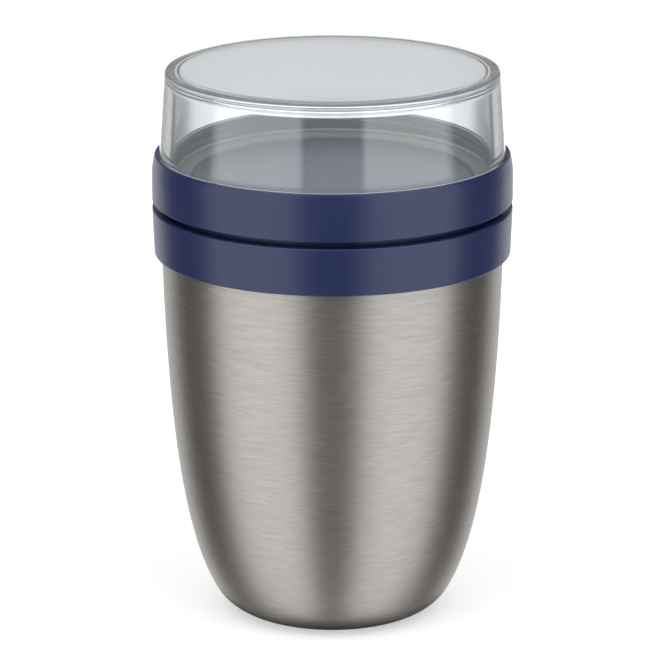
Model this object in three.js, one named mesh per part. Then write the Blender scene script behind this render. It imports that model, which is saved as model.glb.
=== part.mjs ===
// Insulated lunch pot: a double-walled steel pot with a plastic collar, a screw lid and a clear cup
// that is carried upside down in the lid ring.
// Millimetres, +Z up. The origin is the centre of the standing face, on the axis of the pot.
import * as THREE from 'three';

// Steel body
const ringRadius = 55; // outer radius of the collar and of the lid ring
const collarStep = 2.8; // how far the rings stand proud of the steel
const bodyHeight = 113.7; // standing face to the collar's lower edge
const bodyLean = THREE.MathUtils.degToRad(1.6); // lean of the wall under the collar
const bodyPull = 51; // reach of the wall's upper curve
const heelLean = THREE.MathUtils.degToRad(29.3); // lean of the wall where it meets the heel
const heelPull = 20.4; // reach of the wall's lower curve
const heelRadius = 16.1; // round of the heel
const standRadius = 27.2; // outer radius of the standing ring
const standSlope = THREE.MathUtils.degToRad(16); // slope of the heel where it meets the standing ring
const standWidth = 3.2;
const standDepth = 3.2; // height of the flange turned up inside the standing ring
const sheet = 0.8; // thickness of the steel sheet
const vacuumGap = 4.4; // between the two walls
const floorGap = 9.2; // between the two floors

// Neck of the steel body
const shoulderRise = 5.9; // collar's lower edge to the shoulder
const shoulderWidth = 5.2; // body wall to neck
const shoulderRound = 3;
const neckRound = 1.2;
const neckGap = 0.5; // between the two walls in the neck
const mouthRise = 2; // shoulder to the start of the straight mouth of the inner vessel

// Foot
const bottomLap = 1.6; // lap of the outer bottom over the turned-up flange
const portRadius = 1;
const dimpleRadius = 6;
const dimpleDepth = 1.2;
const beadRadius = 3.5;
const beadHeight = 0.9;
const beadRound = 0.5;
const getterRadius = 4;
const getterHeight = 2.5;
const getterInset = 9; // standing ring's flange to the middle of the getter
const coverRecess = 0.9; // standing face to the base cover
const coverRound = 0.8;

// Collar
const collarHeight = 14.5;
const collarDraft = 0.55; // the collar is this much smaller in radius at its lower edge
const collarWall = 2.5;
const collarFlange = 1.2;
const collarTopRound = 0.5;
const collarFootRound = 0.6;

// Lid
const partingGap = 2.05; // between the collar and the lid ring
const lidRingHeight = 14.8;
const lidRingDraft = 0.7; // the ring is this much smaller in radius at its top
const lidRingBelly = 6; // height from which the ring draws in
const lidRingWall = 2;
const lidFootRound = 0.5;
const lidTopRound = 1.2;
const lipRound = 0.4;
const lidFloorRise = 4.85; // ring's lower edge to the underside of the floor
const lidFloor = 1.4; // thickness of the floor under the cup seal
const discRise = 0.8; // step up to the disc inside the cup seal
const discRound = 0.4;
const sealBed = 9.9; // width of the cup seal's bed
const threadRoom = 1.6; // between the neck and the lid's skirt
const skirtWall = 2.4;
const skirtRound = 0.6;
const skirtGap = 0.8; // between the skirt's end and the collar's flange

// Plug under the lid
const plugRoom = 1.4; // between the mouth and the plug
const plugDepth = 17.5;
const plugDraft = 1.2;
const plugWall = 1.8;
const plugRound = 3.5;

// Seals
const potSealHeight = 1.5;
const potSealOverhang = 0.6; // past the outside of the neck
const potSealLip = 0.7; // thickness of the lip round the plug
const potSealLipDepth = 3;
const potSealRound = 0.3;
const cupSealHeight = 1.5;
const cupSealRound = 0.4;

// Clear cup
const cupHeight = 32.6; // mouth to top
const cupGap = 0.3; // between the cup and the lip of the lid ring
const cupDraft = 1.7;
const cupThreadRelief = 0.6; // step in from the wall to the threaded mouth
const cupReliefRun = 0.8; // height of the slope between them
const cupWall = 3.7; // at the mouth
const cupInsideDraft = 1.2;
const cupBase = 3.6; // thickness of the cup's base, which is on top
const cupCrownWidth = 5; // roll-off round the flat of the base
const cupCrownTilt = THREE.MathUtils.degToRad(10); // its slope at the outer end
const cupEdgeWidth = 1.2; // straight run from there to the side
const cupEdgeRound = 1;
const cupInsideRound = 0.9;
const cupMouthRound = 0.5;

// Clearances
const fitGap = 0.3; // between pieces that slip over each other
const restGap = 0.1; // between pieces that come apart

// Facets
const turnSides = 40;
const wallSteps = 8;
const heelSteps = 3;
const roundSteps = 2;
const smallSides = 20;

// Radii worked out from the driving dimensions
const bodyRadius = ringRadius - collarStep;
const neckRadius = bodyRadius - shoulderWidth;
const mouthRadius = neckRadius - sheet - neckGap - sheet;
const heelCentreRadius = standRadius - heelRadius * Math.sin(standSlope);
const heelCentreHeight = heelRadius * Math.cos(standSlope);
const flangeRadius = standRadius - standWidth;
const skirtRadius = neckRadius + threadRoom;
const lipRadius = ringRadius - lidRingWall;
const discRadius = lipRadius - sealBed;
const plugRadius = mouthRadius - plugRoom;
const cupRadius = lipRadius - cupGap;

// Heights above the standing face
const shoulderHeight = bodyHeight + shoulderRise;
const collarTop = bodyHeight + collarHeight;
const lidHeight = collarTop + partingGap;
const rimHeight = lidHeight + lidFloorRise - potSealHeight - restGap;

// Heights above the lid ring's lower edge
const bedHeight = lidFloorRise + lidFloor;
const discHeight = bedHeight + discRise;
const cupRest = bedHeight + cupSealHeight + restGap;

const finish = (color, roughness, metalness) =>
  new THREE.MeshStandardMaterial({ color, roughness, metalness });

const brushedSteel = finish(0xb9b6b1, 0.32, 1);
const plainSteel = finish(0xa9a8a5, 0.45, 1);
const navyPlastic = finish(0x29335a, 0.42, 0);
const silicone = finish(0xaab2b0, 0.55, 0);
const foam = finish(0xe6dfc8, 0.95, 0);
const solderGlass = finish(0x5a4a3c, 0.35, 0);
const getterMetal = finish(0x6a6a6c, 0.8, 1);
const clearPlastic = finish(0xe8eef2, 0.06, 0);
clearPlastic.transparent = true;
clearPlastic.opacity = 0.35;

/** Corner of a section: radius from the axis, height, and the radius of its rounding. */
const corner = (r, h, round = 0) => ({ at: new THREE.Vector2(r, h), round });

/** Points of the tangent arc that replaces a corner between its two neighbours. */
function roundCorner(before, { at, round }, after) {
  const back = before.clone().sub(at).normalize();
  const on = after.clone().sub(at).normalize();
  const halfAngle = Math.acos(THREE.MathUtils.clamp(back.dot(on), -1, 1)) / 2;
  const run = round / Math.tan(halfAngle);
  const start = at.clone().addScaledVector(back, run);
  const end = at.clone().addScaledVector(on, run);
  const middle = back.add(on).normalize().multiplyScalar(round / Math.sin(halfAngle)).add(at);
  const from = start.clone().sub(middle).angle();
  let sweep = end.clone().sub(middle).angle() - from;
  sweep -= 2 * Math.PI * Math.round(sweep / (2 * Math.PI));
  return new THREE.EllipseCurve(middle.x, middle.y, round, round, from, from + sweep, sweep < 0)
    .getPoints(roundSteps);
}

/** Section outline through its corners, with each rounding drawn as an arc. */
function section(corners) {
  return corners.flatMap((one, i) => {
    if (one.round === 0) return [one.at];
    const before = corners.at(i - 1).at;
    const after = corners[(i + 1) % corners.length].at;
    return roundCorner(before, one, after);
  });
}

/** Piece turned about Z from an outline that runs from axis to axis. */
function turned(name, outline, material, sides = turnSides) {
  const geometry = new THREE.LatheGeometry(outline, sides).rotateX(Math.PI / 2);
  const mesh = new THREE.Mesh(geometry, material);
  mesh.name = name;
  return mesh;
}

/** Ring turned about Z from an outline that closes on itself. */
const ring = (name, outline, material) => turned(name, [...outline, outline[0]], material);

/** Corners without rounding through sampled points. */
const along = (points) => points.map(({ x, y }) => corner(x, y));

/**
 * Side of the egg from the heel up to the collar's lower edge, set in from the outer surface.
 * The wall is one cubic curve that runs smoothly into the round of the heel.
 */
function eggSide(wallInset, heelInset, heelStart) {
  const heel = heelRadius - heelInset;
  const round = new THREE.EllipseCurve(
    heelCentreRadius, heelCentreHeight, heel, heel, heelStart - Math.PI / 2, -heelLean);
  const low = round.getPoint(1);
  const high = new THREE.Vector2(bodyRadius - wallInset, bodyHeight);
  const lowHandle = new THREE.Vector2(Math.sin(heelLean), Math.cos(heelLean)).multiplyScalar(heelPull);
  const highHandle = new THREE.Vector2(Math.sin(bodyLean), Math.cos(bodyLean)).multiplyScalar(bodyPull);
  const wall = new THREE.CubicBezierCurve(low, lowHandle.add(low), high.clone().sub(highHandle), high);
  return [...round.getPoints(heelSteps), ...wall.getPoints(wallSteps).slice(1)];
}

/** Outer wall: standing ring, egg, shoulder and neck, in one thickness of sheet. */
function outerShell() {
  const neckTop = rimHeight - sheet;
  const inside = eggSide(sheet, sheet, standSlope).reverse();
  return ring('outer_shell', section([
    corner(flangeRadius, standDepth),
    corner(flangeRadius, 0),
    ...along(eggSide(0, 0, standSlope)),
    corner(bodyRadius, shoulderHeight, shoulderRound),
    corner(neckRadius, shoulderHeight, neckRound),
    corner(neckRadius, neckTop),
    corner(neckRadius - sheet, neckTop),
    corner(neckRadius - sheet, shoulderHeight - sheet, neckRound + sheet),
    corner(bodyRadius - sheet, shoulderHeight - sheet, shoulderRound - sheet),
    ...along(inside),
    corner(flangeRadius + sheet, sheet),
    corner(flangeRadius + sheet, standDepth),
  ]), brushedSteel);
}

/** Liner that holds the food, with its lip turned out over the end of the neck. */
function innerVessel() {
  const wallInset = sheet + vacuumGap;
  const heelInset = sheet + floorGap;
  const outside = eggSide(wallInset, heelInset, 0);
  const inside = eggSide(wallInset + sheet, heelInset + sheet, 0).reverse();
  const mouthHeight = shoulderHeight + mouthRise;
  return turned('inner_vessel', section([
    corner(0, outside[0].y),
    ...along(outside),
    corner(mouthRadius + sheet, mouthHeight),
    corner(mouthRadius + sheet, rimHeight - sheet),
    corner(neckRadius, rimHeight - sheet),
    corner(neckRadius, rimHeight),
    corner(mouthRadius, rimHeight, sheet),
    corner(mouthRadius, mouthHeight),
    ...along(inside),
    corner(0, inside.at(-1).y),
  ]), plainSteel);
}

/** Pressed disc that closes the vacuum space, dimpled round its evacuation port. */
function outerBottom() {
  const edge = flangeRadius + bottomLap;
  const wideDimple = dimpleRadius + dimpleDepth;
  const top = standDepth + sheet;
  return ring('outer_bottom', section([
    corner(portRadius, standDepth + dimpleDepth),
    corner(dimpleRadius - sheet, standDepth + dimpleDepth),
    corner(wideDimple - sheet, standDepth),
    corner(edge, standDepth),
    corner(edge, top),
    corner(wideDimple, top),
    corner(dimpleRadius, top + dimpleDepth),
    corner(portRadius, top + dimpleDepth),
  ]), plainSteel);
}

/** Bead of solder glass in the dimple, under the port. */
function vacuumBead() {
  const top = standDepth + dimpleDepth;
  return turned('vacuum_bead', section([
    corner(0, top - beadHeight),
    corner(beadRadius, top - beadHeight, beadRound),
    corner(beadRadius, top),
    corner(0, top),
  ]), solderGlass, smallSides);
}

/** Gas-absorbing tablet on the outer bottom, in the vacuum space. */
function getter() {
  const low = standDepth + sheet;
  const tablet = turned('getter', section([
    corner(0, low),
    corner(getterRadius, low),
    corner(getterRadius, low + getterHeight),
    corner(0, low + getterHeight),
  ]), getterMetal, smallSides);
  tablet.position.x = flangeRadius - getterInset;
  return tablet;
}

/** Shallow pressed cap inside the standing ring, which hides the bead and the weld. */
function baseCover() {
  const edge = flangeRadius - fitGap;
  return turned('base_cover', section([
    corner(0, coverRecess),
    corner(edge, coverRecess, coverRound + sheet),
    corner(edge, standDepth),
    corner(edge - sheet, standDepth),
    corner(edge - sheet, coverRecess + sheet, coverRound),
    corner(0, coverRecess + sheet),
  ]), brushedSteel);
}

/** Plastic ring round the top of the body, hung by its flange on the shoulder. */
function potCollar() {
  const flangeTop = shoulderHeight + collarFlange;
  const bore = bodyRadius + fitGap;
  return ring('pot_collar', section([
    corner(bore, bodyHeight),
    corner(ringRadius - collarDraft, bodyHeight, collarFootRound),
    corner(ringRadius, collarTop, collarTopRound),
    corner(ringRadius - collarWall, collarTop, collarTopRound),
    corner(ringRadius - collarWall, flangeTop),
    corner(neckRadius + fitGap, flangeTop),
    corner(neckRadius + fitGap, shoulderHeight + neckRound),
    corner(neckRadius + fitGap + neckRound, shoulderHeight),
    corner(bore, shoulderHeight),
  ]), navyPlastic);
}

/** Lid ring, its floor with the bed for the cup seal, and the skirt that screws on to the neck. */
function lidBody() {
  const skirtEnd = shoulderHeight + collarFlange + skirtGap - lidHeight;
  const topRadius = ringRadius - lidRingDraft;
  const belly = new THREE.QuadraticBezierCurve(
    new THREE.Vector2(ringRadius, lidRingBelly),
    new THREE.Vector2(ringRadius, (lidRingBelly + lidRingHeight) / 2),
    new THREE.Vector2(topRadius, lidRingHeight - lidTopRound));
  return turned('lid_body', section([
    corner(0, lidFloorRise),
    corner(skirtRadius, lidFloorRise),
    corner(skirtRadius, skirtEnd, skirtRound),
    corner(skirtRadius + skirtWall, skirtEnd, skirtRound),
    corner(skirtRadius + skirtWall, lidFloorRise),
    corner(lipRadius, lidFloorRise),
    corner(lipRadius, 0),
    corner(ringRadius, 0, lidFootRound),
    ...along(belly.getPoints(roundSteps + 1)),
    corner(topRadius - lidTopRound / 2, lidRingHeight),
    corner(lipRadius, lidRingHeight, lipRound),
    corner(lipRadius, bedHeight),
    corner(discRadius, bedHeight),
    corner(discRadius, discHeight, discRound),
    corner(0, discHeight),
  ]), navyPlastic);
}

/** Moulded plug, open to the lid's floor, that reaches down into the mouth. */
function lidPlug() {
  const low = lidFloorRise - plugDepth;
  const lowRadius = plugRadius - plugDraft;
  return turned('lid_plug', section([
    corner(0, low),
    corner(lowRadius, low, plugRound),
    corner(plugRadius, lidFloorRise),
    corner(plugRadius - plugWall, lidFloorRise),
    corner(lowRadius - plugWall, low + plugWall, plugRound - plugWall),
    corner(0, low + plugWall),
  ]), navyPlastic);
}

/** Foam block that fills the plug. */
function lidInsulation() {
  const low = lidFloorRise - plugDepth + plugWall;
  const lowRadius = plugRadius - plugDraft - plugWall - fitGap;
  return turned('lid_insulation', section([
    corner(0, low),
    corner(lowRadius, low, plugRound - plugWall),
    corner(plugRadius - plugWall - fitGap, lidFloorRise),
    corner(0, lidFloorRise),
  ]), foam);
}

/** Ring with a lip round the plug, which the lid presses on to the rim of the neck. */
function potSeal() {
  const bore = plugRadius + fitGap;
  const face = lidFloorRise - potSealHeight;
  return ring('pot_seal', section([
    corner(bore, face - potSealLipDepth),
    corner(bore + potSealLip, face - potSealLipDepth, potSealRound),
    corner(bore + potSealLip, face),
    corner(neckRadius + potSealOverhang, face, potSealRound),
    corner(neckRadius + potSealOverhang, lidFloorRise),
    corner(bore, lidFloorRise),
  ]), silicone);
}

/** Flat ring in the bed of the lid's floor, under the mouth of the cup. */
function cupSeal() {
  const inner = discRadius + fitGap;
  const outer = lipRadius - fitGap;
  const top = bedHeight + cupSealHeight;
  return ring('cup_seal', section([
    corner(inner, bedHeight),
    corner(outer, bedHeight),
    corner(outer, top, cupSealRound),
    corner(inner, top, cupSealRound),
  ]), silicone);
}

/** Clear cup, mouth down, with a stepped mouth that screws into the lid ring. */
function clearCup() {
  const threadEnd = lidRingHeight - cupRest - lipRound;
  const threadRadius = cupRadius - cupThreadRelief;
  const bore = cupRadius - cupWall;
  const edgeRadius = cupRadius - cupDraft;
  const crownRadius = edgeRadius - cupEdgeWidth;
  const crownHeight = cupHeight - cupCrownWidth * Math.tan(cupCrownTilt) / 2;
  const crown = new THREE.QuadraticBezierCurve(
    new THREE.Vector2(crownRadius, crownHeight),
    new THREE.Vector2(crownRadius - cupCrownWidth / 2, cupHeight),
    new THREE.Vector2(crownRadius - cupCrownWidth, cupHeight));
  return turned('clear_cup', section([
    corner(0, cupHeight - cupBase),
    corner(bore - cupInsideDraft, cupHeight - cupBase, cupInsideRound),
    corner(bore, 0, cupMouthRound),
    corner(threadRadius, 0, cupMouthRound),
    corner(threadRadius, threadEnd - cupReliefRun),
    corner(cupRadius, threadEnd),
    corner(edgeRadius, crownHeight - cupEdgeWidth * Math.tan(cupCrownTilt), cupEdgeRound),
    ...along(crown.getPoints(roundSteps)),
    corner(0, cupHeight),
  ]), clearPlastic);
}

const pot = new THREE.Group();
pot.add(outerShell(), innerVessel(), outerBottom(), vacuumBead(), getter(), baseCover(), potCollar());

const cup = new THREE.Group();
cup.position.z = cupRest;
cup.add(clearCup());

const lid = new THREE.Group();
lid.position.z = lidHeight;
lid.add(lidBody(), lidPlug(), lidInsulation(), potSeal(), cupSeal(), cup);

const lunchPot = new THREE.Group();
lunchPot.add(pot, lid);

export default lunchPot;
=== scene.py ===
"""Looks of an insulated lunch pot: brushed steel body, navy rings and a clear cup, in a white studio."""

from __future__ import annotations

import logging
import math
from collections.abc import Mapping, Sequence
from dataclasses import dataclass, field, replace
from enum import Enum
from functools import cache

import bmesh
import bpy
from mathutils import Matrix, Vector
from mathutils.geometry import interpolate_bezier

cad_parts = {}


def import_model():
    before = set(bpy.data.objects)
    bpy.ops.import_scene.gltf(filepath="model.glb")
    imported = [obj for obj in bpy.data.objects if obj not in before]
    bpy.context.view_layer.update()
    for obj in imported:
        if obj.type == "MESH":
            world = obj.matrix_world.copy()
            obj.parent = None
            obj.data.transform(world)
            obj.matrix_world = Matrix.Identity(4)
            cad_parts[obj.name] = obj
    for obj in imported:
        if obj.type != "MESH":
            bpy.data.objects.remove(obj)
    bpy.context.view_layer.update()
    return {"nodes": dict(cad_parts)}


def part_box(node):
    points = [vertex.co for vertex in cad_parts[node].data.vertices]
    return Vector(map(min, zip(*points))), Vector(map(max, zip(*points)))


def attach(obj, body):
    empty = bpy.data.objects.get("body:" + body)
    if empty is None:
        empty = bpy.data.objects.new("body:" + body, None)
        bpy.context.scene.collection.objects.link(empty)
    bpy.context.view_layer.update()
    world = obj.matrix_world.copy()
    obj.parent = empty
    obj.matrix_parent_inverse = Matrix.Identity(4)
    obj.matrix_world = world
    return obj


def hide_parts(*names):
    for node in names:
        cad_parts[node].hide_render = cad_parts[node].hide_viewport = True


LOG = logging.getLogger("lunch_pot")

MM = 0.001
TURN_STEPS = 160
ROUND_STEPS = 6
CURVE_POINTS = 40
SHORT_CURVE_POINTS = 20
HEEL_POINTS = 12
MERGE_DISTANCE = 1e-6
AXIS_GUARD = 1e-6
SHARP_ANGLE = math.radians(40)
QUARTER_TURN = math.pi / 2
FULL_TURN = 2 * math.pi
IMAGE_SIDE = 665

Colour = tuple[float, float, float, float]
Settings = Mapping[str, object]
Inputs = Mapping[str | int, object]

WHITE: Colour = (1, 1, 1, 1)

NOISE_MIDDLE = 0.5
MIX_FACTOR = 0
MIX_FIRST_COLOUR = 6
MIX_SECOND_COLOUR = 7
MIX_COLOUR_OUTPUT = 2


class Outline(Enum):
    """How a half section closes before it is spun."""

    RING = "on itself"
    SOLID = "on the axis"


class Side(Enum):
    """The side of a wall that a thread stands on."""

    OUTSIDE = 1
    INSIDE = -1


class Wire:
    """Output of a shader node that takes part in Python expressions."""

    def __init__(self, board: Board, socket: bpy.types.NodeSocket) -> None:
        """Keeps the board that the socket's node lies on."""
        self.board = board
        self.socket = socket

    def __add__(self, other: Wire | float) -> Wire:
        """Sum as a Math node."""
        return self.board.math("ADD", self, other)

    def __radd__(self, other: float) -> Wire:
        """Sum with a number on the left."""
        return self.board.math("ADD", other, self)

    def __sub__(self, other: Wire | float) -> Wire:
        """Difference as a Math node."""
        return self.board.math("SUBTRACT", self, other)

    def __rsub__(self, other: float) -> Wire:
        """Difference from a number."""
        return self.board.math("SUBTRACT", other, self)

    def __mul__(self, other: Wire | float) -> Wire:
        """Product as a Math node."""
        return self.board.math("MULTIPLY", self, other)

    def __rmul__(self, other: float) -> Wire:
        """Product with a number on the left."""
        return self.board.math("MULTIPLY", other, self)

    def __truediv__(self, other: Wire | float) -> Wire:
        """Quotient as a Math node."""
        return self.board.math("DIVIDE", self, other)

    def __rtruediv__(self, other: float) -> Wire:
        """A number over this value."""
        return self.board.math("DIVIDE", other, self)

    def __pow__(self, other: Wire | float) -> Wire:
        """Power as a Math node."""
        return self.board.math("POWER", self, other)

    def __rpow__(self, other: float) -> Wire:
        """A number to the power of this value."""
        return self.board.math("POWER", other, self)


class Board:
    """Node tree that a material, or the world, is wired up on."""

    def __init__(self, owner: bpy.types.Material | bpy.types.World) -> None:
        """Starts from an empty tree.

        Args:
            owner: The material or the world.
        """
        owner.use_nodes = True
        self.tree = owner.node_tree
        self.tree.nodes.clear()

    def node(
        self, kind: str, settings: Settings | None = None, inputs: Inputs | None = None
    ) -> bpy.types.Node:
        """Adds a node.

        Args:
            kind: The node's type.
            settings: Its properties, set before its sockets.
            inputs: Values or wires for its sockets, by name or number.

        Returns:
            The new node.
        """
        made = self.tree.nodes.new(kind)
        for name, value in (settings or {}).items():
            setattr(made, name, value)
        for key, value in (inputs or {}).items():
            if isinstance(value, Wire):
                self.tree.links.new(value.socket, made.inputs[key])
            else:
                made.inputs[key].default_value = value
        return made

    def wire(
        self,
        kind: str,
        settings: Settings | None = None,
        inputs: Inputs | None = None,
        output: str | int = 0,
    ) -> Wire:
        """One output, by name or number, of a new node."""
        return Wire(self, self.node(kind, settings, inputs).outputs[output])

    def math(self, operation: str, first: Wire | float, second: Wire | float = 0.0) -> Wire:
        """Math node on two values."""
        return self.wire("ShaderNodeMath", {"operation": operation}, {0: first, 1: second})

    def blend(self, factor: Wire, first: Wire | Colour, second: Wire | Colour) -> Wire:
        """Mix of two colours by a factor."""
        inputs = {MIX_FACTOR: factor, MIX_FIRST_COLOUR: first, MIX_SECOND_COLOUR: second}
        return self.wire("ShaderNodeMix", {"data_type": "RGBA"}, inputs, MIX_COLOUR_OUTPUT)

    def ease(self, value: Wire, start: float, end: float) -> Wire:
        """Smooth step of a value from 0 at start to 1 at end."""
        inputs = {"Value": value, "From Min": start, "From Max": end}
        return self.wire("ShaderNodeMapRange", {"interpolation_type": "SMOOTHSTEP"}, inputs)

    def place(self) -> Wire:
        """Object coordinates of the surface."""
        return self.wire("ShaderNodeTexCoord", output="Object")

    def ray(self, fact: str) -> Wire:
        """What the Light Path node says of a ray."""
        return self.wire("ShaderNodeLightPath", output=fact)

    def principled(self, inputs: Inputs) -> Wire:
        """Principled shader with values or wires for its sockets."""
        return self.wire("ShaderNodeBsdfPrincipled", None, inputs)

    def axes(self, vector: Wire) -> tuple[Wire, Wire, Wire]:
        """X, Y and Z of a vector."""
        split = self.node("ShaderNodeSeparateXYZ", None, {0: vector})
        return tuple(Wire(self, socket) for socket in split.outputs)

    def noise(self, vector: Wire, scale: float, detail: float = 2.0, roughness: float = 0.5) -> Wire:
        """Noise value from 0 to 1 at a vector."""
        inputs = {"Vector": vector, "Scale": scale, "Detail": detail, "Roughness": roughness}
        return self.wire("ShaderNodeTexNoise", None, inputs)

    def bump(self, height: Wire, strength: float, distance: float) -> Wire:
        """Normal from a height that varies over the surface."""
        inputs = {"Height": height, "Strength": strength, "Distance": distance}
        return self.wire("ShaderNodeBump", None, inputs)


@dataclass(frozen=True)
class Finish:
    """Surface finish that becomes one material."""

    name: str
    slot: str
    colour: Colour
    second_colour: Colour
    roughness: float
    roughness_spread: float

    @cache
    def material(self) -> bpy.types.Material:
        """Builds the material on the first call.

        Returns:
            The material, the same one on every call.
        """
        made = bpy.data.materials.new(self.name)
        board = Board(made)
        board.node("ShaderNodeOutputMaterial", None, {"Surface": self.shader(board)})
        return made

    def shader(self, board: Board) -> Wire:
        """Shader of this finish."""
        raise NotImplementedError

    def tone(self, board: Board, share: Wire) -> Wire:
        """Colour between the finish's two colours."""
        return board.blend(share, self.colour, self.second_colour)

    def uneven(self, roughness: float, noise: Wire) -> Wire:
        """Roughness that a noise varies about its middle."""
        return roughness + (noise - NOISE_MIDDLE) * self.roughness_spread


@dataclass(frozen=True)
class BrushedMetal(Finish):
    """Metal with fine brush lines that run round the piece."""

    anisotropy: float
    line_pitch: float
    line_length: float
    line_drift: float
    line_depth: float
    line_detail: float = 3.0
    line_contrast: float = 0.65
    drift_scale: float = 24.0
    cloud_scale: float = 14.0
    tone_start: float = 0.34
    tone_end: float = 0.66
    relief: float = 0.25
    brush_turn: float = 0.25

    def shader(self, board: Board) -> Wire:
        """Wires brush lines into the tone, roughness and relief.

        Args:
            board: The tree to build on.

        Returns:
            The Principled shader.
        """
        place = board.place()
        x, y, z = board.axes(place)
        radius = (x * x + y * y + AXIS_GUARD) ** 0.5
        reach = 1.0 / self.line_length
        drift = board.noise(place, self.drift_scale, detail=1.0) * self.line_drift
        across = (z + radius + drift) / self.line_pitch
        stretched = {"X": x / radius * reach, "Y": y / radius * reach, "Z": across}
        along = board.wire("ShaderNodeCombineXYZ", None, stretched)
        lines = board.noise(along, 1.0, self.line_detail, self.line_contrast)
        cloud = board.noise(place, self.cloud_scale)
        return board.principled({
            "Base Color": self.tone(board, board.ease(lines, self.tone_start, self.tone_end)),
            "Metallic": 1.0,
            "Roughness": self.uneven(self.roughness, lines + cloud - NOISE_MIDDLE),
            "Anisotropic": self.anisotropy,
            "Anisotropic Rotation": self.brush_turn,
            "Normal": board.bump(lines, self.relief, self.line_depth),
        })


@dataclass(frozen=True)
class MouldedPlastic(Finish):
    """Opaque moulded plastic with a faint grain."""

    grain: float
    grain_depth: float
    ior: float = 1.5
    cloud_scale: float = 25.0
    cloud_detail: float = 3.0
    relief: float = 0.2

    def shader(self, board: Board) -> Wire:
        """Wires the grain into the tone, roughness and relief.

        Args:
            board: The tree to build on.

        Returns:
            The Principled shader.
        """
        place = board.place()
        fine = board.noise(place, 1.0 / self.grain)
        cloud = board.noise(place, self.cloud_scale, self.cloud_detail)
        return board.principled({
            "Base Color": self.tone(board, cloud),
            "Roughness": self.uneven(self.roughness, cloud),
            "IOR": self.ior,
            "Normal": board.bump(fine, self.relief, self.grain_depth),
        })


@dataclass(frozen=True)
class ClearPlastic(Finish):
    """Polished see-through plastic with a faint haze, a frosted mouth and a satin base."""

    ior: float
    haze: float
    mouth_haze: float
    mouth_height: float
    base_haze: float
    base_roughness: float
    base_radius: float
    base_height: float
    mouth_fade: float = 0.3 * MM
    base_fade: float = 0.6 * MM
    base_edge_fade: float = 0.8 * MM
    cloud_scale: float = 60.0
    haze_roughness: float = 0.5
    haze_spread: float = 0.2

    def shader(self, board: Board) -> Wire:
        """Wires a clear shader under a faint haze of fine scratches.

        Args:
            board: The tree to build on.

        Returns:
            The mix of the clear plastic and its haze.
        """
        place = board.place()
        cloud = board.noise(place, self.cloud_scale)
        colour = self.tone(board, cloud)
        x, y, z = board.axes(place)
        radius = (x * x + y * y) ** 0.5
        base = board.ease(z, self.base_height, self.base_height + self.base_fade)
        base = base * (1.0 - board.ease(radius, self.base_radius, self.base_radius + self.base_edge_fade))
        clear = board.principled({
            "Base Color": colour,
            "Roughness": self.roughness + base * self.base_roughness,
            "IOR": self.ior,
            "Transmission Weight": 1.0,
        })
        scratched = self.uneven(self.haze_roughness, cloud)
        milky = board.principled({"Base Color": colour, "Roughness": scratched})
        outside = 1.0 - board.wire("ShaderNodeNewGeometry", output="Backfacing")
        mouth = 1.0 - board.ease(z, self.mouth_height, self.mouth_height + self.mouth_fade)
        haze = self.haze + base * (self.base_haze - self.haze)
        patchy = 1.0 - self.haze_spread / 2 + cloud * self.haze_spread
        share = outside * patchy * haze + mouth * self.mouth_haze
        return board.wire("ShaderNodeMixShader", None, {0: share, 1: clear, 2: milky})


@dataclass(frozen=True)
class Silicone(Finish):
    """Soft rubber that lets some light through."""

    depth: float
    scatter: float = 0.5
    ior: float = 1.41
    grain_scale: float = 900.0
    grain_detail: float = 3.0

    def shader(self, board: Board) -> Wire:
        """Wires a translucent shader with a dusty grain.

        Args:
            board: The tree to build on.

        Returns:
            The Principled shader.
        """
        grain = board.noise(board.place(), self.grain_scale, self.grain_detail)
        return board.principled({
            "Base Color": self.tone(board, grain),
            "Roughness": self.uneven(self.roughness, grain),
            "IOR": self.ior,
            "Subsurface Weight": self.scatter,
            "Subsurface Radius": (self.depth, self.depth, self.depth),
            "Subsurface Scale": 1.0,
        })


def at(radius: float, height: float) -> Vector:
    """Point of a half section, in the XZ plane."""
    return Vector((radius, 0.0, height))


@dataclass(frozen=True)
class Corner:
    """Corner of a half section: radius from the axis, height and rounding."""

    radius: float
    height: float
    rounding: float = 0.0

    def point(self) -> Vector:
        """Place of the corner."""
        return at(self.radius, self.height)


def curve(start: Vector, start_handle: Vector, end_handle: Vector, end: Vector, count: int) -> list[Corner]:
    """A number of corners along one cubic curve, from its ends and their handles."""
    points = interpolate_bezier(start, start_handle, end_handle, end, count)
    return [Corner(point.x, point.z) for point in points]


def polar(angle: float, length: float) -> Vector:
    """Vector in the XZ plane at an angle from the horizontal."""
    return at(math.cos(angle) * length, math.sin(angle) * length)


def arc(centre: Vector, radius: float, first: float, last: float, count: int) -> list[Corner]:
    """Corners along an arc of less than a quarter turn, as the cubic curve that comes closest to it.

    Args:
        centre: Middle of the arc, in the XZ plane.
        radius: Its radius.
        first: Start angle from the horizontal.
        last: End angle.
        count: Number of corners.

    Returns:
        The corners, without rounding.
    """
    reach = 4 / 3 * math.tan((last - first) / 4) * radius
    start = centre + polar(first, radius)
    end = centre + polar(last, radius)
    start_handle = start + polar(first + QUARTER_TURN, reach)
    end_handle = end - polar(last + QUARTER_TURN, reach)
    return curve(start, start_handle, end_handle, end, count)


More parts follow.
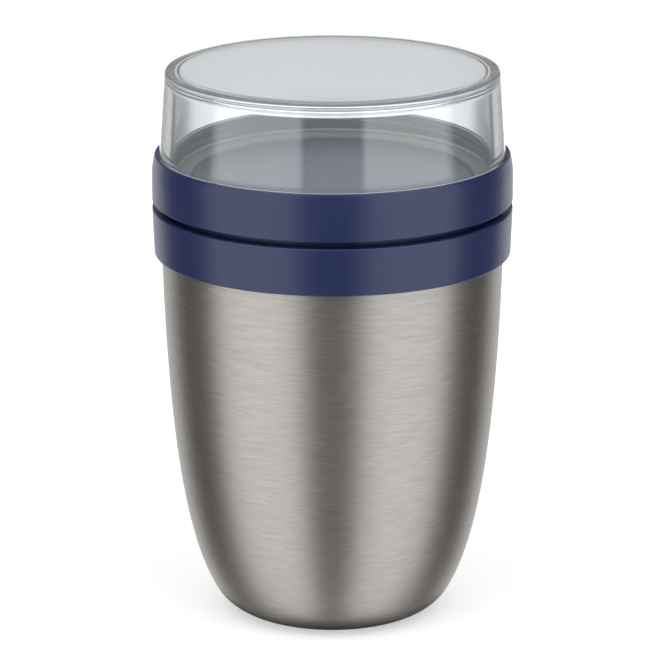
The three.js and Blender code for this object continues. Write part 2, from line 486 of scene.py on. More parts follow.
def round_corners(
    mesh: bmesh.types.BMesh, corners: Sequence[Corner], verts: Sequence[bmesh.types.BMVert]
) -> None:
    """Bevels each corner that has a rounding into a tangent arc.

    Args:
        mesh: The half section.
        corners: Its corners, in order.
        verts: The vertex of each corner.
    """
    count = len(corners)
    for index, corner in enumerate(corners):
        if corner.rounding == 0.0:
            continue
        back = corners[index - 1].point() - corner.point()
        onward = corners[(index + 1) % count].point() - corner.point()
        run = corner.rounding / math.tan(back.angle(onward) / 2)
        bmesh.ops.bevel(
            mesh,
            geom=[verts[index]],
            offset=run,
            offset_type="OFFSET",
            affect="VERTICES",
            segments=ROUND_STEPS,
            profile=0.5,
            material=-1,
        )


def linked(name: str, data: bpy.types.ID) -> bpy.types.Object:
    """Puts a new object in the scene.

    Args:
        name: Name of the object.
        data: Its mesh or camera.

    Returns:
        The object, at the origin.
    """
    made = bpy.data.objects.new(name, data)
    bpy.context.scene.collection.objects.link(made)
    return made


def spin(
    mesh: bmesh.types.BMesh, parts: list[bmesh.types.BMElem], angle: float, steps: int, **settings: object
) -> None:
    """Spins parts of a mesh about Z."""
    bmesh.ops.spin(mesh, geom=parts, cent=(0, 0, 0), axis=(0, 0, 1), angle=angle, steps=steps, **settings)


def close_shell(mesh: bmesh.types.BMesh) -> None:
    """Merges the doubles of a mesh that is one shell, and turns its faces outwards.

    Args:
        mesh: The mesh.
    """
    bmesh.ops.remove_doubles(mesh, verts=mesh.verts, dist=MERGE_DISTANCE)
    bmesh.ops.dissolve_degenerate(mesh, dist=MERGE_DISTANCE, edges=mesh.edges)
    bmesh.ops.recalc_face_normals(mesh, faces=mesh.faces)
    if mesh.calc_volume(signed=True) < 0.0:
        bmesh.ops.reverse_faces(mesh, faces=mesh.faces)


def as_object(name: str, mesh: bmesh.types.BMesh) -> bpy.types.Object:
    """Smooths a closed mesh and puts it in the scene.

    Args:
        name: Name of the piece.
        mesh: The mesh, which is freed.

    Returns:
        The new object, at the origin.
    """
    for face in mesh.faces:
        face.smooth = True
    data = bpy.data.meshes.new(name)
    mesh.to_mesh(data)
    mesh.free()
    data.set_sharp_from_angle(angle=SHARP_ANGLE)
    return linked(name, data)


def settle(piece: bpy.types.Object) -> bpy.types.Object:
    """Applies a piece's modifiers to its mesh.

    Args:
        piece: The piece.

    Returns:
        The same piece, without modifiers.
    """
    bpy.context.view_layer.update()
    graph = bpy.context.evaluated_depsgraph_get()
    data = bpy.data.meshes.new_from_object(piece.evaluated_get(graph))
    data.name = piece.name
    piece.modifiers.clear()
    piece.data = data
    return piece


def even_normals(piece: bpy.types.Object) -> bpy.types.Object:
    """Weights the normals by face area, so that flats stay flat beside their roundings.

    Args:
        piece: The piece.

    Returns:
        The same piece.
    """
    weighted = piece.modifiers.new("weighted", "WEIGHTED_NORMAL")
    weighted.keep_sharp = True
    return settle(piece)


def united(piece: bpy.types.Object, part: bpy.types.Object) -> bpy.types.Object:
    """Unites a piece with a part that reaches into it, and clears the slivers that this leaves.

    Args:
        piece: The piece.
        part: The part, which is used up.

    Returns:
        The piece, closed over both.
    """
    union = piece.modifiers.new("union", "BOOLEAN")
    union.operation = "UNION"
    union.solver = "EXACT"
    union.object = part
    settle(piece)
    bpy.data.objects.remove(part)
    mesh = bmesh.new()
    mesh.from_mesh(piece.data)
    bmesh.ops.dissolve_degenerate(mesh, dist=MERGE_DISTANCE, edges=mesh.edges)
    mesh.to_mesh(piece.data)
    mesh.free()
    piece.data.set_sharp_from_angle(angle=SHARP_ANGLE)
    return piece


def turned(
    name: str, outline: Outline, corners: Sequence[Corner], steps: int = TURN_STEPS
) -> bpy.types.Object:
    """Spins a half section about Z.

    Args:
        name: Name of the piece.
        outline: Whether the section closes on itself or on the axis.
        corners: Its corners, in order.
        steps: Number of steps round the turn.

    Returns:
        The piece.
    """
    mesh = bmesh.new()
    verts = [mesh.verts.new(corner.point()) for corner in corners]
    for first, second in zip(verts, verts[1:]):
        mesh.edges.new((first, second))
    if outline is Outline.RING:
        mesh.edges.new((verts[-1], verts[0]))
    round_corners(mesh, corners, verts)
    spin(mesh, mesh.verts[:] + mesh.edges[:], FULL_TURN, steps, use_merge=True)
    close_shell(mesh)
    return as_object(name, mesh)


def spun(name: str, outline: Outline, corners: Sequence[Corner]) -> bpy.types.Object:
    """Finished piece spun from a half section, with even normals."""
    return even_normals(turned(name, outline, corners))


@dataclass(frozen=True)
class Thread:
    """Ridges of a thread with several starts."""

    side: Side
    wall: float
    ridge: float
    low: float
    lead: float
    root: float = 1.6 * MM
    crest: float = 0.7 * MM
    sink: float = 0.25 * MM
    starts: int = 3
    sweep: float = math.radians(150)
    run_out: float = math.radians(18)
    steps: int = 60

    @property
    def foot(self) -> float:
        """Radius at which the ridges start, just inside the wall."""
        return self.wall - self.side.value * self.sink

    def ridges(self, name: str) -> bpy.types.Object:
        """Sweeps one ridge along its helix and repeats it for the other starts.

        Args:
            name: Name of the piece.

        Returns:
            The ridges as one piece.
        """
        mesh = bmesh.new()
        self._sweep(mesh)
        self._run_out(mesh)
        close_shell(mesh)
        parts = mesh.verts[:] + mesh.edges[:] + mesh.faces[:]
        others = self.starts - 1
        spin(mesh, parts, FULL_TURN * others / self.starts, others, use_duplicate=True)
        return as_object(name, mesh)

    def mate(self, side: Side, wall: float, ridge: float) -> Thread:
        """Thread on the facing wall, half a pitch higher, so that the ridges pass each other."""
        return replace(self, side=side, wall=wall, ridge=ridge, low=self.low + self.lead / self.starts / 2)

    def _sweep(self, mesh: bmesh.types.BMesh) -> None:
        """Adds one ridge of even height.

        Args:
            mesh: The mesh to add to, which is empty.
        """
        top = self.wall + self.side.value * self.ridge
        outline = [
            (self.foot, -self.root / 2),
            (top, -self.crest / 2),
            (top, self.crest / 2),
            (self.foot, self.root / 2),
        ]
        verts = [mesh.verts.new((radius, 0, self.low + height)) for radius, height in outline]
        face = mesh.faces.new(verts)
        rise = self.lead * self.sweep / FULL_TURN / self.steps
        spin(mesh, [face, *face.edges, *verts], self.sweep, self.steps, dvec=(0, 0, rise))

    def _run_out(self, mesh: bmesh.types.BMesh) -> None:
        """Lets both ends of a ridge sink into the wall.

        Args:
            mesh: The mesh of the ridge.
        """
        for vert in mesh.verts:
            angle = math.atan2(vert.co.y, vert.co.x) % FULL_TURN
            # A rounding error below zero comes out as almost a full turn.
            if angle > math.pi + self.sweep / 2:
                angle = 0.0
            share = min(1.0, min(angle, self.sweep - angle) / self.run_out)
            radius = vert.co.xy.length
            wanted = self.foot + (radius - self.foot) * max(share, 0.0)
            vert.co.xy *= wanted / radius


BRUSHED_STEEL = BrushedMetal(
    name="brushed_steel",
    slot="brushed_steel",
    colour=(0.445, 0.427, 0.402, 1),
    second_colour=(0.527, 0.507, 0.477, 1),
    roughness=0.42,
    roughness_spread=0.06,
    anisotropy=0.55,
    line_pitch=0.45 * MM,
    line_length=0.16,
    line_drift=2.0 * MM,
    line_depth=0.012 * MM,
)
SATIN_STEEL = BrushedMetal(
    name="satin_steel",
    slot="plain_steel",
    colour=(0.52, 0.51, 0.5, 1),
    second_colour=(0.58, 0.57, 0.56, 1),
    roughness=0.3,
    roughness_spread=0.05,
    anisotropy=0.4,
    line_pitch=0.6 * MM,
    line_length=0.4,
    line_drift=0.5 * MM,
    line_depth=0.008 * MM,
)
NAVY_PLASTIC = MouldedPlastic(
    name="navy_plastic",
    slot="navy_plastic",
    colour=(0.017, 0.029, 0.107, 1),
    second_colour=(0.02, 0.034, 0.119, 1),
    roughness=0.3,
    roughness_spread=0.04,
    grain=0.25 * MM,
    grain_depth=0.006 * MM,
    ior=1.6,
)
FOAM = MouldedPlastic(
    name="foam",
    slot="foam",
    colour=(0.75, 0.68, 0.5, 1),
    second_colour=(0.82, 0.76, 0.6, 1),
    roughness=0.9,
    roughness_spread=0.1,
    grain=0.8 * MM,
    grain_depth=0.2 * MM,
)
SOLDER_GLASS = MouldedPlastic(
    name="solder_glass",
    slot="solder_glass",
    colour=(0.1, 0.07, 0.04, 1),
    second_colour=(0.15, 0.1, 0.06, 1),
    roughness=0.2,
    roughness_spread=0.1,
    grain=1.0 * MM,
    grain_depth=0.02 * MM,
)
GETTER_METAL = MouldedPlastic(
    name="getter_metal",
    slot="getter_metal",
    colour=(0.12, 0.12, 0.12, 1),
    second_colour=(0.2, 0.2, 0.2, 1),
    roughness=0.7,
    roughness_spread=0.2,
    grain=0.3 * MM,
    grain_depth=0.05 * MM,
)
PALE_SILICONE = Silicone(
    name="pale_silicone",
    slot="silicone",
    colour=(0.28, 0.31, 0.295, 1),
    second_colour=(0.33, 0.36, 0.345, 1),
    roughness=0.5,
    roughness_spread=0.1,
    depth=1.5 * MM,
)


def clear_plastic(mouth_height: float, base_radius: float, base_height: float) -> ClearPlastic:
    """Finish of the cup.

    Args:
        mouth_height: Height at which the frosted mouth ends.
        base_radius: Radius of the satin base.
        base_height: Height at which it starts.

    Returns:
        The finish.
    """
    return ClearPlastic(
        name="clear_plastic",
        slot="clear_plastic",
        colour=(0.93, 0.965, 0.985, 1),
        second_colour=(0.94, 0.972, 0.99, 1),
        roughness=0.0,
        roughness_spread=0.2,
        ior=1.55,
        haze=0.135,
        mouth_haze=0.7,
        mouth_height=mouth_height,
        base_haze=0.21,
        base_roughness=0.05,
        base_radius=base_radius,
        base_height=base_height,
    )


@dataclass
class Assembly:
    """Sub-assembly that rides on one body of the frame."""

    body: str

    def place(self, piece: bpy.types.Object, finish: Finish, *nodes: str, body: str | None = None) -> None:
        """Dresses a piece and ties it to the frame.

        Args:
            piece: The piece, in place.
            finish: Its finish.
            nodes: The nodes that it stands for.
            body: The body that it rides on, where that isn't the assembly's own.
        """
        piece.data.materials.append(finish.material())
        if nodes:
            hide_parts(*nodes)
        carrier = body or self.body
        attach(piece, carrier)
        LOG.info("%s: %d faces, rides on %s", piece.name, len(piece.data.polygons), carrier)


@dataclass
class Pot(Assembly):
    """Double-walled steel pot with its foot and collar."""

    body: str = "pot"
    lean: float = math.radians(1.6)
    pull: float = 51 * MM
    heel_lean: float = math.radians(29.3)
    heel_pull: float = 20.4 * MM
    heel_radius: float = 16.1 * MM
    stand_radius: float = 27.2 * MM
    stand_slope: float = math.radians(16)
    stand_width: float = 3.2 * MM
    stand_depth: float = 3.2 * MM
    sheet: float = 0.8 * MM
    vacuum_gap: float = 4.4 * MM
    floor_gap: float = 9.2 * MM
    shoulder_rise: float = 5.9 * MM
    shoulder_width: float = 5.2 * MM
    shoulder_round: float = 3 * MM
    neck_round: float = 1.2 * MM
    neck_gap: float = 0.5 * MM
    mouth_rise: float = 2 * MM
    cover_recess: float = 0.9 * MM
    cover_round: float = 0.8 * MM
    collar_draft: float = 0.55 * MM
    collar_wall: float = 2.5 * MM
    collar_flange: float = 1.2 * MM
    collar_top_round: float = 0.5 * MM
    collar_foot_round: float = 0.6 * MM
    thread_rise: float = 4.9 * MM
    thread_ridge: float = 0.95 * MM
    thread_lead: float = 12 * MM
    fit_gap: float = 0.3 * MM
    body_radius: float = field(init=False)
    body_height: float = field(init=False)
    collar_top: float = field(init=False)
    ring_radius: float = field(init=False)
    rim_height: float = field(init=False)

    def __post_init__(self) -> None:
        """Takes the main sizes from the frame."""
        collar_low, collar_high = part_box("pot_collar")
        self.body_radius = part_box("outer_shell")[1].x
        self.body_height = collar_low.z
        self.collar_top = collar_high.z
        self.ring_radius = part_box("lid_body")[1].x
        self.rim_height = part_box("inner_vessel")[1].z

    @property
    def neck_radius(self) -> float:
        """Outer radius of the neck."""
        return self.body_radius - self.shoulder_width

    @property
    def shoulder_height(self) -> float:
        """Height of the shoulder that carries the collar."""
        return self.body_height + self.shoulder_rise

    @property
    def flange_radius(self) -> float:
        """Inner radius of the standing ring."""
        return self.stand_radius - self.stand_width

    def build(self) -> None:
        """Builds and dresses every piece of the pot."""
        self.place(self.shell(), BRUSHED_STEEL, "outer_shell")
        self.place(self.vessel(), SATIN_STEEL, "inner_vessel")
        self.place(self.base_cover(), BRUSHED_STEEL, "base_cover")
        self.place(self.collar(), NAVY_PLASTIC, "pot_collar")
        self.place(self.thread().ridges("neck_thread"), SATIN_STEEL)

    def egg(self, wall_inset: float, heel_inset: float, heel_start: float) -> list[Corner]:
        """Side of the egg from the heel up to the collar.

        Args:
            wall_inset: How far the wall lies inside the outer surface.
            heel_inset: The same for the heel.
            heel_start: Slope of the heel at its lower end.

        Returns:
            Corners along the heel and the wall.
        """
        heel = self.heel_radius - heel_inset
        centre = at(
            self.stand_radius - self.heel_radius * math.sin(self.stand_slope),
            self.heel_radius * math.cos(self.stand_slope),
        )
        low = centre + polar(-self.heel_lean, heel)
        high = at(self.body_radius - wall_inset, self.body_height)
        low_handle = low + polar(QUARTER_TURN - self.heel_lean, self.heel_pull)
        high_handle = high - polar(QUARTER_TURN - self.lean, self.pull)
        wall = curve(low, low_handle, high_handle, high, CURVE_POINTS)
        return arc(centre, heel, heel_start - QUARTER_TURN, -self.heel_lean, HEEL_POINTS) + wall[1:]

    def shell(self) -> bpy.types.Object:
        """Outer wall from the standing ring to the end of the neck.

        Returns:
            The piece.
        """
        neck_top = self.rim_height - self.sheet
        inside = self.egg(self.sheet, self.sheet, self.stand_slope)[::-1]
        inner_neck = self.neck_radius - self.sheet
        inner_shoulder = self.shoulder_height - self.sheet
        return spun("shell", Outline.RING, [
            Corner(self.flange_radius, self.stand_depth),
            Corner(self.flange_radius, 0.0, self.sheet),
            *self.egg(0.0, 0.0, self.stand_slope),
            Corner(self.body_radius, self.shoulder_height, self.shoulder_round),
            Corner(self.neck_radius, self.shoulder_height, self.neck_round),
            Corner(self.neck_radius, neck_top),
            Corner(inner_neck, neck_top),
            Corner(inner_neck, inner_shoulder, self.neck_round + self.sheet),
            Corner(self.body_radius - self.sheet, inner_shoulder, self.shoulder_round - self.sheet),
            *inside,
            Corner(self.flange_radius + self.sheet, self.sheet),
            Corner(self.flange_radius + self.sheet, self.stand_depth),
        ])

    def vessel(self) -> bpy.types.Object:
        """Liner with its lip over the end of the neck.

        Returns:
            The piece.
        """
        wall = self.sheet + self.vacuum_gap
        heel = self.sheet + self.floor_gap
        outside = self.egg(wall, heel, 0.0)
        inside = self.egg(wall + self.sheet, heel + self.sheet, 0.0)[::-1]
        mouth = self.neck_radius - self.sheet - self.neck_gap - self.sheet
        mouth_height = self.shoulder_height + self.mouth_rise
        return spun("vessel", Outline.SOLID, [
            Corner(0.0, outside[0].height),
            *outside,
            Corner(mouth + self.sheet, mouth_height),
            Corner(mouth + self.sheet, self.rim_height - self.sheet),
            Corner(self.neck_radius, self.rim_height - self.sheet),
            Corner(self.neck_radius, self.rim_height, self.sheet / 2),
            Corner(mouth, self.rim_height, self.sheet),
            Corner(mouth, mouth_height),
            *inside,
            Corner(0.0, inside[-1].height),
        ])

    def base_cover(self) -> bpy.types.Object:
        """Pressed cap inside the standing ring.

        Returns:
            The piece.
        """
        edge = self.flange_radius - self.fit_gap
        return spun("foot_cover", Outline.SOLID, [
            Corner(0.0, self.cover_recess),
            Corner(edge, self.cover_recess, self.cover_round + self.sheet),
            Corner(edge, self.stand_depth),
            Corner(edge - self.sheet, self.stand_depth),
            Corner(edge - self.sheet, self.cover_recess + self.sheet, self.cover_round),
            Corner(0.0, self.cover_recess + self.sheet),
        ])

    def collar(self) -> bpy.types.Object:
        """Plastic ring that hangs by its flange on the shoulder.

        Returns:
            The piece.
        """
        bore = self.body_radius + self.fit_gap
        inner = self.neck_radius + self.fit_gap
        wall = self.ring_radius - self.collar_wall
        flange_top = self.shoulder_height + self.collar_flange
        return spun("collar", Outline.RING, [
            Corner(bore, self.body_height),
            Corner(self.ring_radius - self.collar_draft, self.body_height, self.collar_foot_round),
            Corner(self.ring_radius, self.collar_top, self.collar_top_round),
            Corner(wall, self.collar_top, self.collar_top_round),
            Corner(wall, flange_top),
            Corner(inner, flange_top),
            Corner(inner, self.shoulder_height + self.neck_round),
            Corner(inner + self.neck_round, self.shoulder_height),
            Corner(bore, self.shoulder_height),
        ])

    def thread(self) -> Thread:
        """Thread rolled into the neck."""
        low = self.shoulder_height + self.thread_rise
        return Thread(Side.OUTSIDE, self.neck_radius, self.thread_ridge, low, self.thread_lead)


@dataclass(kw_only=True)
class Lid(Assembly):
    """Screw lid: ring, floor, skirt, plug and seals, for a neck of a given outer radius."""

    neck_radius: float
    body: str = "lid"
    ring_draft: float = 0.7 * MM
    ring_belly: float = 6 * MM
    ring_wall: float = 2 * MM
    foot_round: float = 0.5 * MM
    top_round: float = 0.7 * MM
    top_drop: float = 0.45 * MM
    lip_round: float = 0.4 * MM
    floor_rise: float = 4.85 * MM
    floor: float = 1.4 * MM
    disc_rise: float = 0.8 * MM
    disc_round: float = 0.4 * MM
    seal_bed: float = 9.9 * MM
    skirt_wall: float = 2.4 * MM
    skirt_round: float = 0.6 * MM
    thread_room: float = 1.6 * MM
    skirt_ridge: float = 0.85 * MM
    ring_ridge: float = 0.45 * MM
    plug_wall: float = 1.8 * MM
    plug_round: float = 3.5 * MM
    plug_draft: float = 1.2 * MM
    seal_round: float = 0.4 * MM
    seal_lip: float = 0.7 * MM
    seal_height: float = 1.5 * MM
    fit_gap: float = 0.3 * MM
    ring_radius: float = field(init=False)
    low: float = field(init=False)
    top: float = field(init=False)
    skirt_end: float = field(init=False)

    def __post_init__(self) -> None:
        """Takes the main sizes from the frame."""
        body_low, body_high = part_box("lid_body")
        plug_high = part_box("lid_plug")[1]
        self.ring_radius = body_high.x
        self.top = body_high.z - self.top_drop
        self.skirt_end = body_low.z
        self.low = plug_high.z - self.floor_rise

    @property
    def lip_radius(self) -> float:
        """Inner radius of the lid ring."""
        return self.ring_radius - self.ring_wall

    @property
    def skirt_radius(self) -> float:
        """Inner radius of the skirt, which goes over the neck and its thread."""
        return self.neck_radius + self.thread_room

    @property
    def underside(self) -> float:
        """Height of the underside of the floor."""
        return self.low + self.floor_rise

    @property
    def bed(self) -> float:
        """Height of the bed of the cup seal."""
        return self.underside + self.floor

    @property
    def disc_radius(self) -> float:
        """Radius of the disc inside the cup seal."""
        return self.lip_radius - self.seal_bed

    def build(self, neck_thread: Thread, cup_thread: Thread) -> None:
        """Builds and dresses every piece of the lid.

        Args:
            neck_thread: The neck's thread, which the skirt's thread runs under.
            cup_thread: The cup's thread, which the ring's thread runs over.
        """
        self.place(self.shell(), NAVY_PLASTIC, "lid_body")
        self.place(self.plug(), NAVY_PLASTIC, "lid_plug")
        self.place(self.pot_seal(), PALE_SILICONE, "pot_seal", body="lid_seal")
        self.place(self.cup_seal(), PALE_SILICONE, "cup_seal", body="mouth_seal")
        pitch = neck_thread.lead / neck_thread.starts
        under = replace(neck_thread, low=neck_thread.low - pitch)
        skirt = under.mate(Side.INSIDE, self.skirt_radius, self.skirt_ridge)
        ring = cup_thread.mate(Side.INSIDE, self.lip_radius, self.ring_ridge)
        self.place(skirt.ridges("skirt_thread"), NAVY_PLASTIC)
        self.place(ring.ridges("ring_thread"), NAVY_PLASTIC)

    def shell(self) -> bpy.types.Object:
        """Ring, floor and skirt in one moulding.

        Returns:
            The piece.
        """
        outer_skirt = self.skirt_radius + self.skirt_wall
        top_radius = self.ring_radius - self.ring_draft
        start = at(self.ring_radius, self.low + self.ring_belly)
        end = at(top_radius, self.top - self.top_round)
        middle = at(self.ring_radius, (start.z + end.z) / 2)
        belly = curve(start, middle, middle, end, SHORT_CURVE_POINTS)
        return spun("lid_shell", Outline.SOLID, [
            Corner(0.0, self.underside),
            Corner(self.skirt_radius, self.underside),
            Corner(self.skirt_radius, self.skirt_end, self.skirt_round),
            Corner(outer_skirt, self.skirt_end, self.skirt_round),
            Corner(outer_skirt, self.underside),
            Corner(self.lip_radius, self.underside),
            Corner(self.lip_radius, self.low),
            Corner(self.ring_radius, self.low, self.foot_round),
            *belly,
            Corner(top_radius - self.top_round / 2, self.top, self.top_round / 2),
            Corner(self.lip_radius, self.top, self.lip_round),
            Corner(self.lip_radius, self.bed),
            Corner(self.disc_radius, self.bed),
            Corner(self.disc_radius, self.bed + self.disc_rise, self.disc_round),
            Corner(0.0, self.bed + self.disc_rise),
        ])

    def plug(self) -> bpy.types.Object:
        """Plug that reaches into the mouth.

        Returns:
            The piece.
        """
        low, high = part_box("lid_plug")
        foot = high.x - self.plug_draft
        return spun("plug", Outline.SOLID, [
            Corner(0.0, low.z),
            Corner(foot, low.z, self.plug_round),
            Corner(high.x, high.z),
            Corner(high.x - self.plug_wall, high.z),
            Corner(foot - self.plug_wall, low.z + self.plug_wall, self.plug_round - self.plug_wall),
            Corner(0.0, low.z + self.plug_wall),
        ])

    def pot_seal(self) -> bpy.types.Object:
        """Seal with a lip round the plug.

        Returns:
            The piece.
        """
        low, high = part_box("pot_seal")
        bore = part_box("lid_plug")[1].x + self.fit_gap
        face = high.z - self.seal_height
        return spun("plug_seal", Outline.RING, [
            Corner(bore, low.z),
            Corner(bore + self.seal_lip, low.z, self.seal_lip / 2),
            Corner(bore + self.seal_lip, face),
            Corner(high.x, face, self.seal_round),
            Corner(high.x, high.z, self.seal_round),
            Corner(bore, high.z),
        ])

    def cup_seal(self) -> bpy.types.Object:
        """Flat seal in the bed of the floor.

        Returns:
            The piece.
        """
        low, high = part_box("cup_seal")
        inner = self.disc_radius + self.fit_gap
        return spun("rim_seal", Outline.RING, [
            Corner(inner, low.z),
            Corner(high.x, low.z),
            Corner(high.x, high.z, self.seal_round),
            Corner(inner, high.z, self.seal_round),
        ])


@dataclass(kw_only=True)
class Cup(Assembly):
    """Clear cup, mouth down, whose threaded mouth ends at the top of the lid ring."""

    ring_top: float
    body: str = "cup"
    draft: float = 1.7 * MM
    relief: float = 0.6 * MM
    relief_run: float = 0.8 * MM
    wall: float = 3.7 * MM
    inside_draft: float = 1.2 * MM
    base: float = 2.6 * MM
    crown_width: float = 5.0 * MM
    crown_tilt: float = math.radians(10)
    edge_width: float = 1.2 * MM
    edge_round: float = 1.0 * MM
    inside_round: float = 2.0 * MM
    mouth_round: float = 0.5 * MM
    satin_depth: float = 4.9 * MM
    satin_inset: float = 2.9 * MM
    steps: int = 360
    thread_rise: float = 1.7 * MM
    thread_ridge: float = 0.45 * MM
    thread_lead: float = 9 * MM
    thread_root: float = 1.2 * MM
    thread_crest: float = 0.5 * MM
    thread_sweep: float = math.radians(110)

    def thread(self) -> Thread:
        """Thread on the outside of the mouth.

        Returns:
            The thread, which runs inside the lid ring.
        """
        low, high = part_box("clear_cup")
        return Thread(
            Side.OUTSIDE,
            wall=high.x - self.relief,
            ridge=self.thread_ridge,
            low=low.z + self.thread_rise,
            lead=self.thread_lead,
            root=self.thread_root,
            crest=self.thread_crest,
            sweep=self.thread_sweep,
        )

    def finish(self) -> ClearPlastic:
        """Clear plastic with the frost on the mouth's rounding and the satin on the base."""
        low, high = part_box("clear_cup")
        return clear_plastic(low.z + self.mouth_round, high.x - self.satin_inset, high.z - self.satin_depth)

    def build(self) -> None:
        """Builds and dresses the cup."""
        self.place(self.shell(), self.finish(), "clear_cup")

    def crown(self, radius: float, top: float) -> list[Corner]:
        """Curve that rolls off from the flat of the base, pulled two thirds of the way to its middle.

        Args:
            radius: Outer end of the curve.
            top: Height of the flat.

        Returns:
            Corners from the outer end to the flat.
        """
        drop = math.tan(self.crown_tilt) * self.crown_width / 2
        end = at(radius, top - drop)
        start = at(radius - self.crown_width, top)
        middle = at(radius - self.crown_width / 2, top)
        pull = 2 / 3
        return curve(end, end.lerp(middle, pull), start.lerp(middle, pull), start, SHORT_CURVE_POINTS)

    def shell(self) -> bpy.types.Object:
        """Tapered wall, flat base and stepped, threaded mouth.

        Returns:
            The piece.
        """
        low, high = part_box("clear_cup")
        radius = high.x
        mouth = radius - self.relief
        bore = radius - self.wall
        edge = radius - self.draft
        crown = self.crown(edge - self.edge_width, high.z)
        edge_height = crown[0].height - self.edge_width * math.tan(self.crown_tilt)
        shell = turned("cup_shell", Outline.SOLID, [
            Corner(0.0, high.z - self.base),
            Corner(bore - self.inside_draft, high.z - self.base, self.inside_round),
            Corner(bore, low.z, self.mouth_round),
            Corner(mouth, low.z, self.mouth_round),
            Corner(mouth, self.ring_top - self.relief_run),
            Corner(radius, self.ring_top),
            Corner(edge, edge_height, self.edge_round),
            *crown,
            Corner(0.0, high.z),
        ], self.steps)
        return even_normals(united(shell, self.thread().ridges("cup_thread")))


@dataclass
class Studio:
    """Camera, white floor and soft light all round."""

    target_height: float = 87.3 * MM
    distance: float = 1.32
    pitch: float = math.radians(15.95)
    focal_pixels: float = 4287.0
    sensor: float = 36.0
    view_end: float = 20.0
    floor_radius: float = 3.0
    floor_sides: int = 96
    floor_drop: float = 0.1 * MM
    floor_tone: Colour = (0.8, 0.8, 0.8, 1)
    floor_glow: float = 0.5
    foot_radius: float = 26 * MM
    foot_fade: float = 2 * MM
    # Ring round the foot where reflections see a dark floor: painted shade for the shadow under the pot.
    painted_shade_radius: float = 33 * MM
    painted_shade_fade: float = 10 * MM
    painted_shade_tone: Colour = (0.2, 0.2, 0.2, 1)
    box_start: float = math.radians(21.0)
    box_end: float = math.radians(87)
    box_light: float = 1.1
    box_glint: float = 0.88
    side_start: float = math.radians(136)
    side_edge: float = math.radians(12)
    side_light: float = 0.85
    side_dimming: float = 0.35
    clear_start: float = math.radians(146)
    clear_light: float = 0.54
    backdrop_start: float = math.radians(169)
    backdrop_top: float = math.radians(5)
    backdrop_light: float = 0.55
    clear_backdrop_light: float = 0.12
    rear_start: float = math.radians(163)
    rear_top: float = math.radians(11.5)
    rear_glint: float = 0.9
    deep_start: float = 6.5
    deep_light: float = 0.7
    upper_back_light: float = 0.06
    clear_upper_light: float = 0.65
    overhead_start: float = math.radians(45)
    overhead_light: float = 0.8
    room_light: float = 0.07
    room_colour: Colour = (1.0, 0.84, 0.76, 1)
    room_colour_end: float = 0.35
    edge: float = math.radians(3)
    bounces: int = 32

    def build(self) -> None:
        """Builds the camera, the world and the floor."""
        self.camera()
        self.world()
        self.floor()
        scene = bpy.context.scene
        scene.view_settings.view_transform = "Standard"
        scene.cycles.max_bounces = self.bounces
        scene.cycles.glossy_bounces = self.bounces
        scene.cycles.transmission_bounces = self.bounces

    def camera(self) -> None:
        """Puts the camera at the photograph's viewing angle."""
        data = bpy.data.cameras.new("camera")
        data.sensor_width = self.sensor
        data.lens = self.focal_pixels / IMAGE_SIDE * self.sensor
        data.clip_end = self.view_end
        made = linked("camera", data)
        made.location = (
            0.0,
            -self.distance * math.cos(self.pitch),
            self.target_height + self.distance * math.sin(self.pitch),
        )
        made.rotation_euler = (QUARTER_TURN - self.pitch, 0.0, 0.0)
        bpy.context.scene.camera = made

    def world(self) -> None:
        """Lights the scene from all round and shows the camera a white background."""
        world = bpy.data.worlds.new("studio")
        world.cycles.sampling_method = "NONE"
        board = Board(world)
        seen = board.ray("Is Camera Ray")
        strength = seen + (1.0 - seen) * self.light(board)
        lit = board.ease(strength, self.room_light, self.room_colour_end)
        white = board.math("MAXIMUM", lit, board.ray("Is Singular Ray"))
        tint = board.blend(white, self.room_colour, WHITE)
        shader = board.wire("ShaderNodeBackground", None, {"Color": tint, "Strength": strength})
        board.node("ShaderNodeOutputWorld", None, {"Surface": shader})
        bpy.context.scene.world = world

    def light(self, board: Board) -> Wire:
        """Wires two wide soft boxes, a lit backdrop and an overhead light in a dim room.

        Rays through the cup, sharp reflections and long paths find other strengths of them.

        Args:
            board: The tree of the world.

        Returns:
            Strength of the light in a ray's direction.
        """
        refracted = board.ray("Is Transmission Ray")
        sharp = board.ray("Is Singular Ray")
        x, y, z = board.axes(board.wire("ShaderNodeTexCoord", output="Generated"))
        turn = board.math("ARCTAN2", board.math("ABSOLUTE", x), -1.0 * y)
        rise = board.math("ARCSINE", z)
        high = self.past(board, rise, self.backdrop_top)
        box = self.past(board, turn, self.box_start) - self.past(board, turn, self.box_end)
        front = box * (self.box_light + sharp * self.box_glint)
        side = board.ease(turn, self.side_start - self.side_edge, self.side_start + self.side_edge)
        mirrored = side * (self.side_light - sharp * self.side_dimming)
        clear = self.past(board, turn, self.clear_start) * self.clear_light
        low_side = mirrored * (1.0 - refracted) + clear * refracted
        high_side = side * (self.upper_back_light + refracted * self.clear_upper_light)
        light = self.room_light + front + low_side * (1.0 - high) + high_side * high
        backdrop = self.past(board, turn, self.backdrop_start) * (1.0 - high)
        light = light + backdrop * (self.backdrop_light + refracted * self.clear_backdrop_light)
        light = light + self.past(board, rise, self.overhead_start) * self.overhead_light
        rear = self.past(board, turn, self.rear_start)
        rear = rear * (1.0 - board.ease(rise, self.rear_top - self.edge, self.rear_top))
        light = light + rear * sharp * (1.0 - refracted) * self.rear_glint
        deep = board.math("GREATER_THAN", board.ray("Ray Depth"), self.deep_start)
        return light + deep * (self.deep_light - light)

    def past(self, board: Board, angle: Wire, start: float) -> Wire:
        """Soft step from 0 to 1 where an angle passes its start."""
        return board.ease(angle, start - self.edge, start + self.edge)

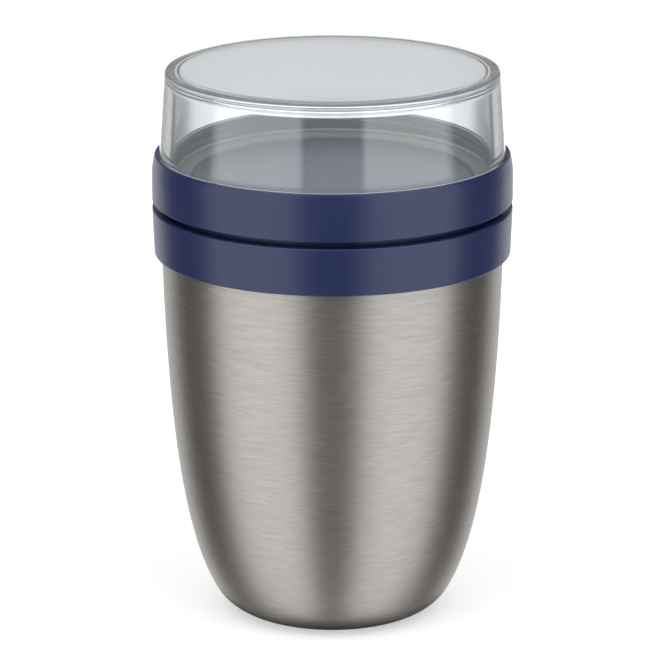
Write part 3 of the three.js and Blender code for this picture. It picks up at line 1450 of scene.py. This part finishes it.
    def floor(self) -> None:
        """Lays a pale floor that keeps the shadow and shows white elsewhere."""
        mesh = bmesh.new()
        bmesh.ops.create_circle(mesh, cap_ends=True, segments=self.floor_sides, radius=self.floor_radius)
        bmesh.ops.translate(mesh, verts=mesh.verts, vec=(0, 0, -self.floor_drop))
        data = bpy.data.meshes.new("floor")
        mesh.to_mesh(data)
        mesh.free()
        data.materials.append(self.floor_material())
        linked("floor", data)

    def floor_material(self) -> bpy.types.Material:
        """Matt floor with a white top-up for the camera; reflections see it only round the foot, where it
        is darker: painted shade for the shadow under the pot.

        Returns:
            The floor's material.
        """
        made = bpy.data.materials.new("pale_floor")
        board = Board(made)
        seen = board.ray("Is Camera Ray")
        mirrored = board.ray("Is Glossy Ray")
        refracted = board.ray("Is Transmission Ray")
        x, y, _ = board.axes(board.place())
        radius = (x * x + y * y) ** 0.5
        # Ring round the foot where reflections see the floor at all: the band of painted shade under the
        # pot.
        painted_shade_ring = board.ease(radius, self.foot_radius - self.foot_fade, self.foot_radius)
        painted_shade_ring = painted_shade_ring - board.ease(radius, self.painted_shade_radius, self.painted_shade_radius + self.painted_shade_fade)
        below = board.wire("ShaderNodeNewGeometry", output="Backfacing")
        # Reflections see the darker tone, which paints the shade under the pot onto the heel.
        tone = board.blend(mirrored, self.floor_tone, self.painted_shade_tone)
        matt = board.wire("ShaderNodeBsdfDiffuse", None, {"Color": tone})
        glow = board.wire("ShaderNodeEmission", None, {"Color": WHITE, "Strength": seen * self.floor_glow})
        surface = board.wire("ShaderNodeAddShader", None, {0: matt, 1: glow})
        clear = board.wire("ShaderNodeBsdfTransparent")
        opened = board.math("MAXIMUM", mirrored * (1.0 - painted_shade_ring), refracted)
        opened = board.math("MAXIMUM", opened, below)
        shader = board.wire("ShaderNodeMixShader", None, {0: opened, 1: surface, 2: clear})
        board.node("ShaderNodeOutputMaterial", None, {"Surface": shader})
        return made


def dress_hidden_nodes(nodes: Mapping[str, bpy.types.Object]) -> None:
    """Gives the sealed pieces, which keep their CAD shape, their finishes.

    Args:
        nodes: The CAD nodes by name.
    """
    finishes = {
        "outer_bottom": SATIN_STEEL,
        "vacuum_bead": SOLDER_GLASS,
        "getter": GETTER_METAL,
        "lid_insulation": FOAM,
    }
    for name, finish in finishes.items():
        node = nodes[name]
        for material_slot in node.material_slots:
            material_slot.material = finish.material()
        LOG.info("%s: dressed as %s", name, finish.name)


def main() -> None:
    """Builds the pot, lid, cup and studio round the frame."""
    logging.basicConfig(level=logging.INFO, format="%(message)s")
    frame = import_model()
    Studio().build()
    pot = Pot()
    pot.build()
    lid = Lid(neck_radius=pot.neck_radius)
    cup = Cup(ring_top=lid.top)
    lid.build(pot.thread(), cup.thread())
    cup.build()
    dress_hidden_nodes(frame["nodes"])


if __name__ == "__main__":
    main()
